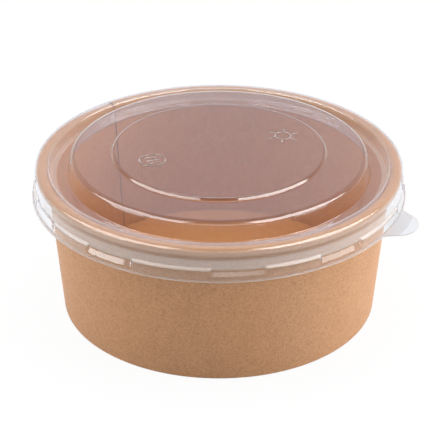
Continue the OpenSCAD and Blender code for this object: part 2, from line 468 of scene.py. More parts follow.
def raised_mark_tree() -> Tree:
    """Geometry tree of a raised mark: a low round ring with short bars around it or in it.

    Returns:
        The tree.
    """
    maker, given = new_group(
        "GeometryNodeTree", "raised_mark",
        [("Finish", MATERIAL, None), ("Bars Around", FLAG, True), ("Bars", INT, 6),
         ("Ring Radius", FLOAT, 0.003), ("Line Radius", FLOAT, 0.0004), ("Bar Length", FLOAT, 0.0017),
         ("Bar Distance", FLOAT, 0.004), ("Bar Spacing", FLOAT, 0.0014), ("Flatten", FLOAT, 0.7),
         ("Place", VECTOR, (0.0, 0.0, 0.0)), ("Turn", FLOAT, 0.0)],
        [("Geometry", GEOMETRY)])
    sizes = given.outputs
    section = maker.first("GeometryNodeCurvePrimitiveCircle",
                          {"Resolution": 12, "Radius": sizes["Line Radius"]})
    ring_line = maker.first("GeometryNodeCurvePrimitiveCircle",
                            {"Resolution": 48, "Radius": sizes["Ring Radius"]})
    ring = maker.first("GeometryNodeCurveToMesh", {"Curve": ring_line, "Profile Curve": section})
    half = maker.times(sizes["Bar Length"], 0.5)
    ends = [maker.join(x) for x in (maker.times(half, -1.0), half)]
    bar_line = maker.first("GeometryNodeCurvePrimitiveLine", {"Start": ends[0], "End": ends[1]})
    bar = maker.first("GeometryNodeCurveToMesh", {
        "Curve": bar_line, "Profile Curve": section, "Fill Caps": True})
    around = maker.first("GeometryNodeMeshCircle",
                         {"Vertices": sizes["Bars"], "Radius": sizes["Bar Distance"]})
    gap = maker.join(y=sizes["Bar Spacing"])
    first = maker.vector("SCALE", gap, maker.times(maker.math("SUBTRACT", sizes["Bars"], 1.0), -0.5))
    inside = maker.first("GeometryNodeMeshLine", {
        "Count": sizes["Bars"], "Start Location": first, "Offset": gap})
    spots = maker.first("GeometryNodeSwitch", {
        "Switch": sizes["Bars Around"], "False": inside, "True": around})
    place = maker.first("GeometryNodeInputPosition")
    at = maker.split(place)
    outward = maker.times(maker.math("ARCTAN2", at[1], at[0]), sizes["Bars Around"])
    facing = maker.first("FunctionNodeEulerToRotation", {0: maker.join(z=outward)})
    bars = maker.first("GeometryNodeInstanceOnPoints",
                       {"Points": spots, "Instance": bar, "Rotation": facing})
    both = maker.add("GeometryNodeJoinGeometry")
    for part in (ring, bars):
        maker.tree.links.new(part, both.inputs[0])
    turned = maker.first("FunctionNodeEulerToRotation", {0: maker.join(z=sizes["Turn"])})
    flat = maker.join(1.0, 1.0, sizes["Flatten"])
    mark = maker.first("GeometryNodeTransform", {
        "Geometry": both.outputs[0], "Translation": sizes["Place"], "Rotation": turned,
        "Scale": flat})
    return finish_geometry(maker, mark, sizes["Finish"])


def points_object(name: str, points: Sequence[Sequence[float]]) -> Piece:
    """Makes an object whose mesh is loose points.

    Args:
        name: The object's name.
        points: The points.

    Returns:
        The object, linked to the scene.
    """
    mesh = bpy.data.meshes.new(name)
    mesh.from_pydata([tuple(p) for p in points], [], [])
    made = bpy.data.objects.new(name, mesh)
    bpy.context.scene.collection.objects.link(made)
    return made


def add_tree(target: Piece, tree: Tree, values: dict[str, object]) -> None:
    """Puts a geometry tree on an object and sets its inputs by their identifiers.

    Args:
        target: The object that gets the modifier.
        tree: The tree.
        values: The inputs' values by name.
    """
    modifier = target.modifiers.new(tree.name, "NODES")
    modifier.node_group = tree
    identifiers = {item.name: item.identifier for item in tree.interface.items_tree
                   if item.item_type == "SOCKET" and item.in_out == "INPUT"}
    for name, value in values.items():
        modifier[identifiers[name]] = value


def settle(target: Piece, sharp_from: float = 40.0) -> None:
    """Turns an object with modifiers into a plain mesh, in place.

    Args:
        target: The object.
        sharp_from: Angle in degrees from which an edge is shaded sharp.
    """
    bpy.context.view_layer.update()
    graph = bpy.context.evaluated_depsgraph_get()
    mesh = bpy.data.meshes.new_from_object(target.evaluated_get(graph), depsgraph=graph)
    target.modifiers.clear()
    old = target.data
    target.data = mesh
    bpy.data.meshes.remove(old)
    mesh.name = target.name
    mesh.set_sharp_from_angle(angle=math.radians(sharp_from))


def drop(*spent: Piece) -> None:
    """Removes helper objects and their meshes."""
    for made in spent:
        mesh = made.data
        bpy.data.objects.remove(made)
        bpy.data.meshes.remove(mesh)


def turned_sheet(name: str, line: Sequence[Point], rays: Sequence[Ray], finish: Material,
                 follow: Sequence[float] | None = None, shift_above: float = 0.0) -> Piece:
    """Turns a middle line round the axis into an open sheet.

    Args:
        name: The piece's name.
        line: The middle line (r, z), in millimetres.
        rays: The directions in which it is drawn.
        finish: The sheet's material.
        follow: How far each point of the line follows a ray's reach, from 0 to 1.
        shift_above: Height over which a ray's shift grows from nothing to its whole size.

    Returns:
        The sheet as a plain mesh without thickness.
    """
    held = [min(1.0, z / shift_above - 0.5) if z < 1.5 * shift_above else 1.0 for _, z in line]
    held = [max(0.0, share) for share in held]
    made = points_object(name, [(r * MM, 0.0, z * MM) for r, z in line])
    sides = made.data.attributes.new("side", "FLOAT_VECTOR", "POINT")
    sides.data.foreach_set("vector", [
        v * share for (r, z), share in zip(left_sides(line), held) for v in (r, 0.0, z)])
    shares = made.data.attributes.new("follow", "FLOAT", "POINT")
    shares.data.foreach_set("value", list(follow or [0.0] * len(line)))
    fan = points_object(name + "_rays",
                        [(math.radians(ray.degrees), ray.shift * MM, ray.reach * MM) for ray in rays])
    tree = bpy.data.node_groups.get("turned_sheet") or turned_sheet_tree()
    add_tree(made, tree, {"Rays": fan, "Finish": finish})
    settle(made)
    drop(fan)
    return made


def thicken(sheet: Piece, thickness: float, right: int, cut: int) -> None:
    """Gives a sheet its thickness, half to each side of the middle line.

    Args:
        sheet: The sheet.
        thickness: The thickness in millimetres.
        right: Material slots from the sheet's own to the one of its right face.
        cut: Material slots from the sheet's own to the one of its cut edges.
    """
    wall = sheet.modifiers.new("thickness", "SOLIDIFY")
    wall.thickness = thickness * MM
    wall.offset = 0.0
    wall.use_even_offset = True
    wall.material_offset = right
    wall.material_offset_rim = cut
    settle(sheet)


# Values between which most of a noise lies
CLOUDY = (0.3, 0.7)
# Stretch and offset of the two sets of fibres, which cross
FIBRE_SETS = (((1.0, 1.0, 0.22), 0.0), ((0.3, 0.3, 1.0), 0.37))


def paper_grain_group() -> Tree:
    """Shader group of the board's grain: cloudy mottle, fibres, specks and the height they give."""
    maker, given = new_group(
        "ShaderNodeTree", "paper_grain",
        [("Vector", VECTOR, None), ("Mottle Scale", FLOAT, 1250.0), ("Cloud Scale", FLOAT, 120.0),
         ("Fibre Scale", FLOAT, 1100.0), ("Speck Scale", FLOAT, 900.0), ("Speck Share", FLOAT, 0.03)],
        [("Mottle", FLOAT), ("Clouds", FLOAT), ("Fibres", FLOAT), ("Specks", FLOAT), ("Height", FLOAT)])
    sizes = given.outputs
    place = sizes["Vector"]

    def noise(scale: Socket, detail: float, vector: Socket = place, distortion: float = 0.0) -> Socket:
        """A cloudy pattern."""
        return maker.first("ShaderNodeTexNoise", {
            "Vector": vector, "Scale": scale, "Detail": detail, "Distortion": distortion})

    mottle = maker.ramp(noise(sizes["Mottle Scale"], 3.0), *CLOUDY)
    clouds = maker.ramp(noise(sizes["Cloud Scale"], 2.0), *CLOUDY)
    strands = []
    for stretch, seed in FIBRE_SETS:
        long = maker.vector("MULTIPLY", place, stretch)
        moved = maker.vector("ADD", long, (seed, seed, seed))
        ridge = maker.math("ABSOLUTE", maker.math(
            "SUBTRACT", noise(sizes["Fibre Scale"], 1.0, moved, 0.6), 0.5))
        strands.append(maker.ramp(ridge, 0.0, 0.05, to=(1.0, 0.0)))
    fibres = maker.math("MAXIMUM", strands[0], strands[1])
    cells = maker.add("ShaderNodeTexVoronoi", {"Vector": place, "Scale": sizes["Speck Scale"]}).outputs
    chosen = maker.math("LESS_THAN", maker.first("ShaderNodeSeparateColor", {0: cells["Color"]}),
                        sizes["Speck Share"])
    specks = maker.times(chosen, maker.ramp(cells["Distance"], 0.15, 0.45, to=(1.0, 0.0)))
    height = maker.math("MULTIPLY_ADD", fibres, 0.35, mottle)
    return close_group(maker, {"Mottle": mottle, "Clouds": clouds, "Fibres": fibres,
                               "Specks": specks, "Height": height})


@dataclass(frozen=True)
class BoardFinish:
    """One face of the kraft board: its colours, its grain and its coating."""

    name: str
    pale: Colour
    deep: Colour
    roughness: float = 0.75
    coat: float = 0.0
    relief: float = 0.012
    speck_share: float = 0.05
    sheen: float = 0.15
    fine_share: float = 0.85
    fibre_gain: float = 1.22
    fibre_strength: float = 0.3
    speck_shade: float = 0.5
    speck_strength: float = 0.6
    gloss_spread: float = 0.08

    def material(self, grain: Tree) -> Material:
        """Builds the material.

        Args:
            grain: The shared group of the board's grain.

        Returns:
            The material.
        """
        made = bpy.data.materials.new(self.name)
        made.use_nodes = True
        maker = TreeMaker(made.node_tree)
        shader = made.node_tree.nodes["Principled BSDF"]
        where = maker.add("ShaderNodeTexCoord").outputs["Object"]
        pattern = maker.add("ShaderNodeGroup", node_tree=grain)
        made.node_tree.links.new(where, pattern.inputs["Vector"])
        pattern.inputs["Speck Share"].default_value = self.speck_share
        out = pattern.outputs
        broad = maker.times(out["Clouds"], 1.0 - self.fine_share)
        tone = maker.math("MULTIPLY_ADD", out["Mottle"], self.fine_share, broad)
        colour = maker.mix(tone, self.deep, self.pale)
        pale_strand = tuple(min(1.0, self.fibre_gain * part) for part in self.pale)
        colour = maker.mix(maker.times(out["Fibres"], self.fibre_strength), colour, pale_strand)
        dark_speck = tuple([self.speck_shade * part for part in self.deep[:3]] + [1.0])
        colour = maker.mix(maker.times(out["Specks"], self.speck_strength), colour, dark_speck)
        rough = maker.ramp(out["Mottle"], 0.0, 1.0, to=(self.roughness, self.roughness - self.gloss_spread))
        bump = maker.first("ShaderNodeBump", {"Height": out["Height"], "Strength": 0.6,
                                              "Distance": self.relief * MM})
        for socket, source in (("Base Color", colour), ("Roughness", rough), ("Normal", bump)):
            made.node_tree.links.new(source, shader.inputs[socket])
        for socket, value in (("Specular IOR Level", 0.35), ("Coat Weight", self.coat),
                              ("Coat Roughness", 0.3), ("Sheen Weight", self.sheen),
                              ("Sheen Roughness", 0.5)):
            shader.inputs[socket].default_value = value
        return made


@dataclass(frozen=True)
class Band:
    """A ring of the lid where the sheet looks different, such as whiter, less glossy, or with a painted
    highlight, a painted reflection or painted shade.

    low and high are heights above the rim's top, inner and outer distances past its outer edge.
    """

    low: float
    high: float
    inner: float
    outer: float
    share: float
    edge: float = 0.4

    def strength(self, maker: TreeMaker, level: Socket, reach: Socket, rim: Point) -> Socket:
        """How strongly the ring shows at a place.

        Args:
            maker: The maker of the sheet's tree.
            level: The place's height in metres.
            reach: The place's distance from the axis in metres.
            rim: The rim's outer edge and top (r, z), in millimetres.

        Returns:
            The socket with the share.
        """
        edge = self.edge * MM
        tall = maker.inside(level, (rim[1] + self.low) * MM, (rim[1] + self.high) * MM, edge)
        wide = maker.inside(reach, (rim[0] + self.inner) * MM, (rim[0] + self.outer) * MM, edge)
        return maker.times(maker.times(tall, wide), self.share)


# The formed sheet's rings: whiter on the skirt, painted highlight over the roll, painted reflection on the
# plug, painted shade along the dome's and the disc's bends, less glossy, and fainter when grazed
SHEET_RINGS: dict[str, tuple[Band, ...]] = {
    # whiter on the skirt's upper band
    "white": (Band(low=-9.025, high=-4.6, inner=-2.0, outer=4.0, share=0.18),
              # painted highlight along the roll's outer edge, seen through the land
              Band(low=-2.7, high=-0.6, inner=-1.0, outer=4.0, share=0.12, edge=0.3),
              # painted reflection on the plug wall
              Band(low=-4.9, high=0.3, inner=-9.0, outer=-4.0, share=0.1, edge=0.3)),
    # painted shade along the dome's bend and along the disc's bend, where the bends refract and mirror dark
    # surroundings
    "dark": (Band(low=3.4, high=5.2, inner=-17.7, outer=-14.5, share=0.6, edge=0.3),
             Band(low=5.0, high=7.0, inner=-35.5, outer=-33.0, share=0.8, edge=0.3)),
    "matt": (Band(low=-9.325, high=-7.825, inner=-2.0, outer=4.0, share=0.4, edge=0.2),
             Band(low=-1.9, high=1.0, inner=-1.6, outer=2.0, share=0.08),
             Band(low=-14.925, high=-12.725, inner=1.0, outer=8.0, share=0.3, edge=0.3)),
    "faint": (Band(low=-13.925, high=2.0, inner=-1.0, outer=4.0, share=0.9, edge=0.3),)}


@dataclass(frozen=True)
class ClearFinish:
    """The lid's clear sheet: a glossy plastic with faint flow marks from the forming."""

    name: str
    tint: Colour
    index: float = 1.57
    roughness: float = 0.03
    wave_scale: float = 28.0
    wave_height: float = 0.05
    # share of milky white all over: a faint haze on the sheet, and a painted highlight on the cut edge and
    # the ridges
    haze_and_highlight_share: float = 0.02
    white: tuple[Band, ...] = ()
    dark: tuple[Band, ...] = ()
    matt: tuple[Band, ...] = ()
    faint: tuple[Band, ...] = ()
    rim: Point = (0.0, 0.0)
    # brown of the painted shade along the dome's and the disc's bends
    painted_shade_tint: Colour = (0.72, 0.63, 0.57, 1.0)
    # warm milky white of the white rings: haze, and also the painted highlight over the roll and the painted
    # reflection on the plug
    haze_and_highlight_white: Colour = (0.94, 0.89, 0.86, 1.0)
    passed: Colour = (0.93, 0.93, 0.93, 1.0)
    grazed: Colour = (0.95, 0.95, 0.97, 1.0)
    grazing: Point = (0.6, 0.85)

    def material(self) -> Material:
        """Builds the material. Shadow rays and light from matt faces pass straight through.

        Returns:
            The material.
        """
        made = bpy.data.materials.new(self.name)
        made.use_nodes = True
        tree = made.node_tree
        maker = TreeMaker(tree)
        shader = tree.nodes["Principled BSDF"]
        where = maker.add("ShaderNodeTexCoord").outputs["Object"]
        waves = maker.first("ShaderNodeTexNoise", {
            "Vector": where, "Scale": self.wave_scale, "Detail": 2.0})
        bump = maker.first("ShaderNodeBump", {"Height": waves, "Strength": 0.4,
                                              "Distance": self.wave_height * MM})
        tree.links.new(bump, shader.inputs["Normal"])
        for socket, value in (("Base Color", self.tint), ("Roughness", self.roughness),
                              ("IOR", self.index), ("Transmission Weight", 1.0)):
            shader.inputs[socket].default_value = value
        level = maker.split(where)[2]
        reach = maker.length(maker.vector("MULTIPLY", where, (1.0, 1.0, 0.0)))

        def together(bands: Sequence[Band], start: float) -> Socket | float:
            """Adds up the shares of some rings."""
            share: Socket | float = start
            for band in bands:
                share = maker.math("ADD", share, band.strength(maker, level, reach, self.rim))
            return share

        # Painted shade: the base colour turns brown in the dark rings along the dome's and the disc's bends
        if self.dark:
            tint = maker.mix(together(self.dark, 0.0), self.tint, self.painted_shade_tint)
            tree.links.new(tint, shader.inputs["Base Color"])
        if self.matt:
            tree.links.new(together(self.matt, self.roughness), shader.inputs["Roughness"])
        # Milky diffuse over the white rings: whiter sheet on the skirt, painted highlight over the roll,
        # painted reflection on the plug
        white = together(self.white, self.haze_and_highlight_share)
        haze_and_highlight_layer = maker.first("ShaderNodeBsdfDiffuse", {"Color": self.haze_and_highlight_white})
        sheet = maker.first("ShaderNodeMixShader", {0: white, 1: shader.outputs[0], 2: haze_and_highlight_layer})
        path = maker.add("ShaderNodeLightPath").outputs
        passing = maker.math("MAXIMUM", path["Is Shadow Ray"], path["Is Diffuse Ray"])
        through = maker.first("ShaderNodeBsdfTransparent", {0: self.passed})
        if self.faint:
            facing = maker.add("ShaderNodeLayerWeight", {"Blend": 0.5}).outputs["Facing"]
            grazing = maker.times(maker.ramp(facing, *self.grazing), together(self.faint, 0.0))
            clear = maker.first("ShaderNodeBsdfTransparent", {0: self.grazed})
            sheet = maker.first("ShaderNodeMixShader", {0: grazing, 1: sheet, 2: clear})
        mixed = maker.first("ShaderNodeMixShader", {0: passing, 1: sheet, 2: through})
        tree.links.new(mixed, tree.nodes["Material Output"].inputs["Surface"])
        return made


@dataclass
class Bowl:
    """The bowl: a wrapped side wall with a rolled rim, and a floor set into its foot."""

    rim_r: float
    height: float
    foot_r: float = 72.5
    roll_d: float = 5.0
    roll_turn: float = 300.0
    board_t: float = 0.45
    floor_h: float = 5.5
    fold_r: float = 0.3
    floor_bend_r: float = 0.8
    glue_gap: float = 0.05
    edge_gap: float = 0.25
    seam_at: float = 130.6
    seam_turn: float = 5.9
    seam_run: float = 22.0
    rays: int = 360
    roll_steps: int = 36

    @property
    def roll_middle(self) -> Vector:
        """Middle of the rolled rim's tube (r, z)."""
        return Vector((self.rim_r - self.roll_d / 2, self.height - self.roll_d / 2))

    @property
    def roll_line_r(self) -> float:
        """Radius of the middle line of the rolled board."""
        return (self.roll_d - self.board_t) / 2

    @property
    def lean(self) -> float:
        """Lean of the wall from upright, in radians."""
        run = Vector((self.roll_middle.x - self.foot_r, self.roll_middle.y))
        touch = (self.roll_line_r - self.board_t / 2) / run.length
        return math.acos(touch) - math.atan2(run.y, run.x)

    @property
    def top(self) -> Vector:
        """Where the wall's middle line meets the roll."""
        turned = Vector((-math.cos(self.lean), math.sin(self.lean)))
        return self.roll_middle + self.roll_line_r * turned

    @property
    def layer(self) -> float:
        """Distance along r between two boards that lie against each other."""
        return (self.board_t + self.glue_gap) / math.cos(self.lean)

    def wall_r(self, z: float) -> float:
        """Radius of the wall's middle line at a height."""
        return self.top.x - (self.top.y - z) * math.tan(self.lean)

    def wall_line(self) -> list[Point]:
        """Middle line of the wall: hem, fold, cone and rolled rim."""
        floor_z = self.floor_h - self.board_t / 2
        table = self.board_t / 2
        hem = 2 * self.layer
        line = bent_line([
            Corner(self.wall_r(floor_z - self.floor_bend_r) - hem, floor_z - self.floor_bend_r),
            Corner(self.wall_r(table) - hem, table, self.fold_r),
            Corner(self.wall_r(table), table, self.fold_r, cuts=12),
            Corner(self.top.x, self.top.y)])
        for i in range(1, self.roll_steps + 1):
            turn = math.pi - self.lean - math.radians(self.roll_turn) * i / self.roll_steps
            spot = self.roll_middle + self.roll_line_r * Vector((math.cos(turn), math.sin(turn)))
            line.append((spot.x, spot.y))
        return line

    def floor_line(self) -> list[Point]:
        """Middle line of the floor, from the axis to the edge of its down-turned skirt."""
        floor_z = self.floor_h - self.board_t / 2
        edge_z = self.board_t + self.edge_gap
        return bent_line([
            Corner(0.0, floor_z, cuts=6),
            Corner(self.wall_r(floor_z) - self.layer, floor_z, self.floor_bend_r),
            Corner(self.wall_r(edge_z) - self.layer, edge_z)])

    def wrap_rays(self) -> list[Ray]:
        """Rays of the wrapped blank, whose first end lies outside its last end at the seam."""
        rays = []
        for i in range(self.rays + 1):
            turned = (360 + self.seam_turn) * i / self.rays
            share = min(1.0, max(0.0, (self.seam_turn + self.seam_run - turned) / self.seam_run))
            shift = -self.layer * share * share * (3 - 2 * share)
            rays.append(Ray(self.seam_at - self.seam_turn + turned, shift))
        return rays

    def build(self, finishes: Dress,
              floor_finishes: Dress) -> list[Piece]:
        """Builds and dresses the two pieces.

        Args:
            finishes: The wall's materials by face.
            floor_finishes: The floor's materials by face.

        Returns:
            The wall and the floor, riding on the bowl.
        """
        wall = turned_sheet("side_wall_board", self.wall_line(), self.wrap_rays(),
                            finishes[Side.LEFT], shift_above=self.floor_h / 3)
        floor = turned_sheet("floor_board", self.floor_line(), even_rays(240), floor_finishes[Side.LEFT])
        for piece, dress in ((wall, finishes), (floor, floor_finishes)):
            for side in (Side.RIGHT, Side.CUT):
                piece.data.materials.append(dress[side])
            thicken(piece, self.board_t, Side.RIGHT.value, Side.CUT.value)
            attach(piece, "bowl")
        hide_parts("side_wall")
        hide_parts("base_disc")
        return [wall, floor]


@dataclass(frozen=True)
class Mark:
    """One raised mark on the lid's disc: a ring with bars, step apart where they are inside it."""

    name: str
    kind: MarkKind
    at: float
    ring_d: float
    bars: int
    bar_l: float
    step: float = 0.0


@dataclass
class Lid:
    """The clear lid: one thin sheet with a dome, a plug, a skirt with snap lugs and a pull tab.

    lug_turn, lug_offset, lug_first, lug_end and tab_at are angles. lug_foot_soft is the share of a
    lug's foot that blends, mark_sunk the share of a mark's height by which its middle is sunk.
    """

    rim_r: float
    rim_z: float
    sheet_t: float = 0.35
    gap: float = 0.3
    roll_d: float = 5.0
    lug_gap: float = 0.25
    plug_depth: float = 4.9
    plug_lean: float = 1.2
    flange_w: float = 7.5
    dome_lean: float = 1.6
    dome_h: float = 8.9
    dome_edge_r: float = 2.1
    disc_d: float = 96.4
    disc_rise: float = 1.2
    disc_slope: float = 1.0
    bend_r: float = 0.8
    land_edge_r: float = 1.8
    band_h: float = 8.6
    step_out: float = 0.95
    step_h: float = 0.9
    lower_h: float = 4.9
    lower_flare: float = 0.2
    lip_w: float = 0.7
    lug_pairs: int = 5
    lug_turn: float = 16.5
    lug_offset: float = 16.5
    lug_first: float = 292.0
    lug_drop: float = 1.4
    lug_foot_h: float = 1.5
    lug_start: float = 1.2
    lug_top: float = 0.4
    lug_end: float = 0.75
    lug_foot_soft: float = 0.3
    tab_w: float = 25.0
    tab_tip_w: float = 13.2
    tab_l: float = 10.0
    tab_corner_r: float = 10.0
    tab_root_r: float = 5.0
    tab_at: float = 336.0
    mark_line: float = 0.7
    mark_h: float = 0.2
    mark_sunk: float = 0.25
    mark_at_r: float = 32.0
    marks: tuple[Mark, ...] = (
        Mark("mark_right", MarkKind.BARS_AROUND, at=24.0, ring_d=8.0, bars=6, bar_l=2.3),
        Mark("mark_left", MarkKind.BARS_INSIDE, at=202.0, ring_d=12.4, bars=3, bar_l=5.6, step=2.6))
    rays: int = 300

    @property
    def land_z(self) -> float:
        """Height of the land over the rim."""
        return self.rim_z + self.gap + self.sheet_t / 2

    @property
    def disc_z(self) -> float:
        """Height of the raised disc."""
        return self.land_z - self.plug_depth + self.dome_h + self.disc_rise

    @property
    def band_r(self) -> float:
        """Radius of the skirt's upper wall."""
        return self.rim_r + self.gap + self.sheet_t / 2

    @property
    def step_z(self) -> float:
        """Height of the skirt's step."""
        return self.land_z - self.band_h

    @property
    def lip_r(self) -> float:
        """Radius where the skirt meets the lip."""
        return self.band_r + self.step_out + self.lower_flare

    @property
    def lip_z(self) -> float:
        """Height of the lip."""
        return self.step_z - self.step_h - self.lower_h

    def line(self) -> list[Point]:
        """Middle line of the sheet, from the axis to the edge of the lip."""
        flange_z = self.land_z - self.plug_depth
        shoulder_z = flange_z + self.dome_h
        disc_r = self.disc_d / 2
        plug_r = self.rim_r - self.roll_d - self.gap - self.sheet_t / 2
        dome_r = plug_r - self.plug_lean - self.flange_w
        lower_r = self.band_r + self.step_out
        bend = self.bend_r
        return bent_line([
            Corner(0.0, self.disc_z, cuts=3),
            Corner(disc_r - self.disc_slope / 2, self.disc_z, bend),
            Corner(disc_r + self.disc_slope / 2, shoulder_z, bend),
            Corner(dome_r - self.dome_lean, shoulder_z, self.dome_edge_r),
            Corner(dome_r, flange_z, bend),
            Corner(plug_r - self.plug_lean, flange_z, bend),
            Corner(plug_r, self.land_z, bend),
            Corner(self.band_r, self.land_z, self.land_edge_r, cuts=4),
            Corner(self.band_r, self.step_z, bend / 2),
            Corner(lower_r, self.step_z - self.step_h, bend / 2, cuts=7),
            Corner(self.lip_r, self.lip_z, bend / 2),
            Corner(self.lip_r + self.lip_w, self.lip_z)])

    def tab_outline(self) -> list[Point]:
        """Outline of the pull tab, with its middle on +X."""
        root_r = self.lip_r + self.lip_w
        half = self.tab_w / 2
        root_x = math.sqrt(root_r ** 2 - half ** 2)
        tip = root_r + self.tab_l
        side = math.asin((half + 2 * self.tab_root_r) / root_r)
        side_x, side_y = root_r * math.cos(side), root_r * math.sin(side)
        return bent_line([
            Corner(side_x, -side_y),
            Corner(root_x, -half, self.tab_root_r),
            Corner(tip, -self.tab_tip_w / 2, self.tab_corner_r),
            Corner(tip, self.tab_tip_w / 2, self.tab_corner_r),
            Corner(root_x, half, self.tab_root_r),
            Corner(side_x, side_y)], steps=16)

    def lip_rays(self) -> list[Ray]:
        """Rays all round, closer at the lugs' ends and at the tab, where the lip reaches out."""
        outline = self.tab_outline()
        root_r = self.lip_r + self.lip_w
        turns = {round(360 * i / self.rays, 3) for i in range(self.rays)}
        for pair in range(self.lug_pairs):
            for lug in (-1, 1):
                middle = self.lug_first + pair * 360 / self.lug_pairs + lug * self.lug_offset
                for end in (-1, 1):
                    edge = middle + end * self.lug_turn / 2
                    steps = [self.lug_end * k / 3 for k in range(4)]
                    turns |= {round((edge - end * step) % 360, 3) for step in steps}
        spots = [math.degrees(math.atan2(y, x)) for x, y in outline]
        turns |= {round((self.tab_at + spot) % 360, 3) for spot in spots}
        rays = []
        for turn in sorted(turns):
            off = (turn - self.tab_at + 180) % 360 - 180
            rays.append(Ray(turn, 0.0, max(0.0, reach_of(outline, off) - root_r)))
        rays.append(Ray(rays[0].degrees + 360, 0.0, rays[0].reach))
        return rays

    def raised(self, mark: Mark, finish: Material) -> Piece:
        """Builds one raised mark for the disc.

        Args:
            mark: The mark's kind, place and sizes.
            finish: The material of its ridges.

        Returns:
            The mark, which still has to be joined to the sheet.
        """
        line_r = self.mark_line / 2
        ring_r = mark.ring_d / 2 - line_r
        centre = Vector((self.mark_at_r, 0.0, self.disc_z + self.sheet_t / 2 - self.mark_sunk * self.mark_h))
        centre.rotate(Matrix.Rotation(math.radians(mark.at), 3, "Z"))
        made = points_object(mark.name, [(0.0, 0.0, 0.0)])
        tree = bpy.data.node_groups.get("raised_mark") or raised_mark_tree()
        add_tree(made, tree, {
            "Finish": finish, "Bars Around": mark.kind.value, "Bars": mark.bars,
            "Ring Radius": ring_r * MM, "Line Radius": line_r * MM,
            "Bar Length": mark.bar_l * MM, "Bar Spacing": mark.step * MM,
            "Bar Distance": (ring_r + self.mark_line * 1.5 + mark.bar_l / 2) * MM,
            "Flatten": (1 + self.mark_sunk) * self.mark_h / line_r, "Place": centre * MM,
            "Turn": math.radians(mark.at)})
        settle(made)
        return made

    def build(self, finish: Material, edge: Material,
              ridge: Material) -> Piece:
        """Builds and dresses the lid.

        Args:
            finish: The clear sheet's material.
            edge: The material of its cut edge.
            ridge: The material of the raised marks.

        Returns:
            The lid, riding on its own body.
        """
        line = self.line()
        lip_start = self.lip_r + 0.5 * self.lip_w
        follow = [min(1.0, max(0.0, (r - lip_start) / (0.5 * self.lip_w))) for r, _ in line]
        sheet = turned_sheet("clear_lid", line, self.lip_rays(), finish, follow)
        foot_z = self.lip_z + self.lug_foot_h
        add_tree(sheet, pressed_lugs_tree(), {
            "Finish": finish, "Pairs": self.lug_pairs, "First Pair": math.radians(self.lug_first),
            "Offset": math.radians(self.lug_offset), "Turn": math.radians(self.lug_turn),
            "End Blend": math.radians(self.lug_end),
            "Face Radius": (self.rim_r + self.lug_gap + self.sheet_t / 2) * MM,
            "Foot Radius": self.lip_r * MM, "Start Height": (self.step_z + self.lug_start) * MM,
            "Top Height": (self.step_z + self.lug_top) * MM,
            "Low Height": (self.step_z - self.lug_drop) * MM, "Foot Height": foot_z * MM,
            "Foot Blend": self.lug_foot_soft * self.lug_foot_h * MM})
        sheet.data.materials.append(edge)
        thicken(sheet, self.sheet_t, 0, 1)
        raised = [self.raised(mark, ridge) for mark in self.marks]
        for ridges in raised:
            join = sheet.modifiers.new("mark", "BOOLEAN")
            join.operation = "UNION"
            join.solver = "MANIFOLD"
            join.material_mode = "TRANSFER"
            join.object = ridges
        settle(sheet)
        drop(*raised)
        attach(sheet, "lid")
        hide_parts("lid")
        return sheet


def reach_of(outline: Sequence[Point], degrees: float) -> float:
    """How far an outline lies from the origin in one direction.

    Args:
        outline: The outline's points.
        degrees: The direction.

    Returns:
        The greatest distance at which the direction's ray meets the outline, or 0.
    """
    if abs(degrees) > 90:
        return 0.0
    way = Vector((math.cos(math.radians(degrees)), math.sin(math.radians(degrees))))
    best = 0.0
    for a, b in zip(outline, outline[1:]):
        side_a, side_b = way.cross(Vector(a)), way.cross(Vector(b))
        if side_a * side_b > 0 or side_a == side_b:
            continue
        best = max(best, way.dot(Vector(toward(a, b, side_a / (side_a - side_b)))))
    return best


@dataclass(frozen=True)
class Lamp:
    """One soft box, aimed at the middle of the bowl."""

    name: str
    azimuth: float
    elevation: float
    distance: float
    width: float
    height: float
    radiance: float

    def build(self, target: Vector) -> None:
        """Hangs the lamp.

        Args:
            target: Where it aims, in metres.
        """
        light = bpy.data.lights.new(self.name, "AREA")
        light.shape = "RECTANGLE"
        light.size, light.size_y = self.width, self.height
        light.energy = self.radiance * math.pi * self.width * self.height
        lamp = bpy.data.objects.new(self.name, light)
        turn, rise = math.radians(self.azimuth), math.radians(self.elevation)
        way = Vector((math.cos(rise) * math.sin(turn), -math.cos(rise) * math.cos(turn), math.sin(rise)))
        lamp.location = target + way * self.distance
        lamp.rotation_euler = way.to_track_quat("Z", "Y").to_euler()
        lamp.visible_camera = False
        lamp.visible_glossy = False
        lamp.visible_transmission = False
        bpy.context.scene.collection.objects.link(lamp)


@dataclass(frozen=True)
class Panel:
    """A bright field of the sky that only glossy faces mirror, in degrees from the front."""

    left: float
    right: float
    low: float
    high: float
    radiance: float
    soft: float = 2.0

    def strength(self, maker: TreeMaker, turn: Socket, rise: Socket) -> Socket:
        """Adds the nodes that give the panel's radiance in a direction.

        Args:
            maker: The maker of the world's tree.
            turn: The direction's azimuth in radians.
            rise: The direction's elevation in radians.

        Returns:
            The radiance.
        """
        soft = math.radians(self.soft)
        wide = maker.inside(turn, math.radians(self.left), math.radians(self.right), soft)
        tall = maker.inside(rise, math.radians(self.low), math.radians(self.high), soft)
        inside = maker.times(wide, tall)
        return maker.times(inside, self.radiance)


